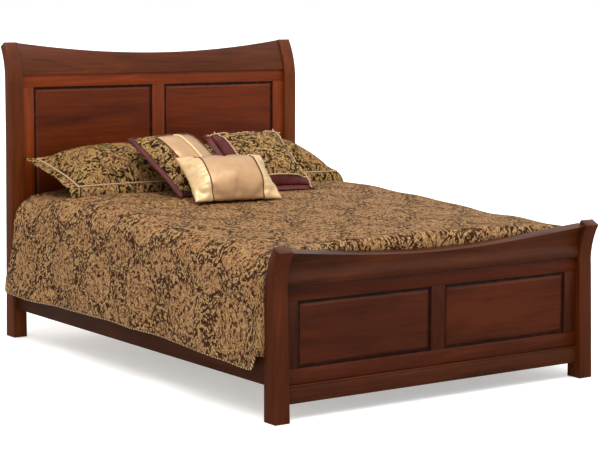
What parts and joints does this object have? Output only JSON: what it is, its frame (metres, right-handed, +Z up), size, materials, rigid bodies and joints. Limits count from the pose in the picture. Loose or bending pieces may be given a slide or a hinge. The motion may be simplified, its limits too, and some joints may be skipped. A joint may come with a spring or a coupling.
{
  "type": "sleigh bed",
  "caption": "Queen size sleigh bed with scrolled posts, scooped crests, raised-panel boards, side rails, slatted base, mattress, box spring, comforter and loose pillows.",
  "frame": {"origin": "on the floor, in the middle of the bed's box", "axes": "+Z up, the headboard at +Y, the footboard at -Y, +X to the right for someone who looks at the bed from its foot"},
  "size_m": [1.652, 2.2814, 1.383],
  "materials": {
    "cherry_dark": "satin lacquered cherry, dark",
    "cherry_panel": "satin lacquered cherry, glazed panel",
    "cherry_post": "satin lacquered cherry, upright grain",
    "cherry_frame": "satin lacquered cherry, reddish",
    "pine": "planed, unfinished",
    "foot_nylon": "moulded nylon",
    "brass_insert": "turned",
    "hook_steel": "zinc plated",
    "screw_steel": "zinc plated",
    "ticking_beige": "woven ticking",
    "ticking_white": "quilted ticking",
    "damask": "jacquard damask, gold on brown",
    "braid_cord": "twisted cord",
    "gold_satin": "satin",
    "burgundy_damask": "jacquard with burgundy border"
  },
  "bodies": {
    "bed": {"headboard_post_left": "cherry_post", "headboard_post_right": "cherry_post", "headboard_crest": "cherry_dark", "headboard_top_rail": "cherry_frame", "headboard_bottom_rail": "cherry_frame", "headboard_stile_left": "cherry_frame", "headboard_stile_right": "cherry_frame", "headboard_mullion": "cherry_frame", "headboard_panel_left": "cherry_panel", "headboard_panel_right": "cherry_panel", "footboard_post_left": "cherry_post", "footboard_post_right": "cherry_post", "footboard_crest": "cherry_dark", "footboard_top_rail": "cherry_frame", "footboard_bottom_rail": "cherry_frame", "footboard_base_rail": "cherry_dark", "footboard_stile_left": "cherry_frame", "footboard_stile_right": "cherry_frame", "footboard_mullion": "cherry_frame", "footboard_panel_left": "cherry_panel", "footboard_panel_right": "cherry_panel", "side_rail_left": "cherry_dark", "side_rail_right": "cherry_dark", "slat_ledger_left": "pine", "slat_ledger_right": "pine", "slat_1": "pine", "slat_2": "pine", "slat_3": "pine", "slat_4": "pine", "slat_5": "pine", "center_beam": "pine", "center_leg_front": "pine", "center_leg_rear": "pine", "leg_inserts": "brass_insert", "leg_bolts": "screw_steel", "rail_hook_plates": "hook_steel", "post_catch_plates": "hook_steel", "rail_plate_screws": "screw_steel", "post_plate_screws": "screw_steel", "ledger_screws": "screw_steel", "slat_screws": "screw_steel", "post_glides": "foot_nylon", "box_spring": "ticking_beige", "mattress": "ticking_white", "comforter": "damask", "comforter_hem_cord": "braid_cord"},
    "sham_right": {"sham_right": "damask"},
    "sham_left": {"sham_left": "damask"},
    "square_left": {"square_pillow_left": "gold_satin"},
    "square_right": {"square_pillow_right": "burgundy_damask"},
    "lumbar": {"lumbar_pillow": "gold_satin"},
    "leveler_front": {"leveling_foot_front": "foot_nylon"},
    "leveler_rear": {"leveling_foot_rear": "foot_nylon"}
  },
  "joints": [
    {"name": "leveler_front_turn", "type": "hinge", "parent": "bed", "child": "leveler_front", "pos_m": [0, -0.51, 0.03], "axis": [0, 0, 1], "continuous": true},
    {"name": "leveler_rear_turn", "type": "hinge", "parent": "bed", "child": "leveler_rear", "pos_m": [0, 0.51, 0.03], "axis": [0, 0, 1], "continuous": true},
    {"name": "sham_right_lift", "type": "slide", "parent": "bed", "child": "sham_right", "axis": [0, 0, 1], "range_m": [0, 0.2]},
    {"name": "sham_left_lift", "type": "slide", "parent": "sham_right", "child": "sham_left", "axis": [0, 0, 1], "range_m": [0, 0.2]},
    {"name": "square_left_lift", "type": "slide", "parent": "sham_left", "child": "square_left", "axis": [0, 0, 1], "range_m": [0, 0.2]},
    {"name": "square_right_lift", "type": "slide", "parent": "square_left", "child": "square_right", "axis": [0, 0, 1], "range_m": [0, 0.2]},
    {"name": "lumbar_lift", "type": "slide", "parent": "square_right", "child": "lumbar", "axis": [0, 0, 1], "range_m": [0, 0.2]}
  ]
}
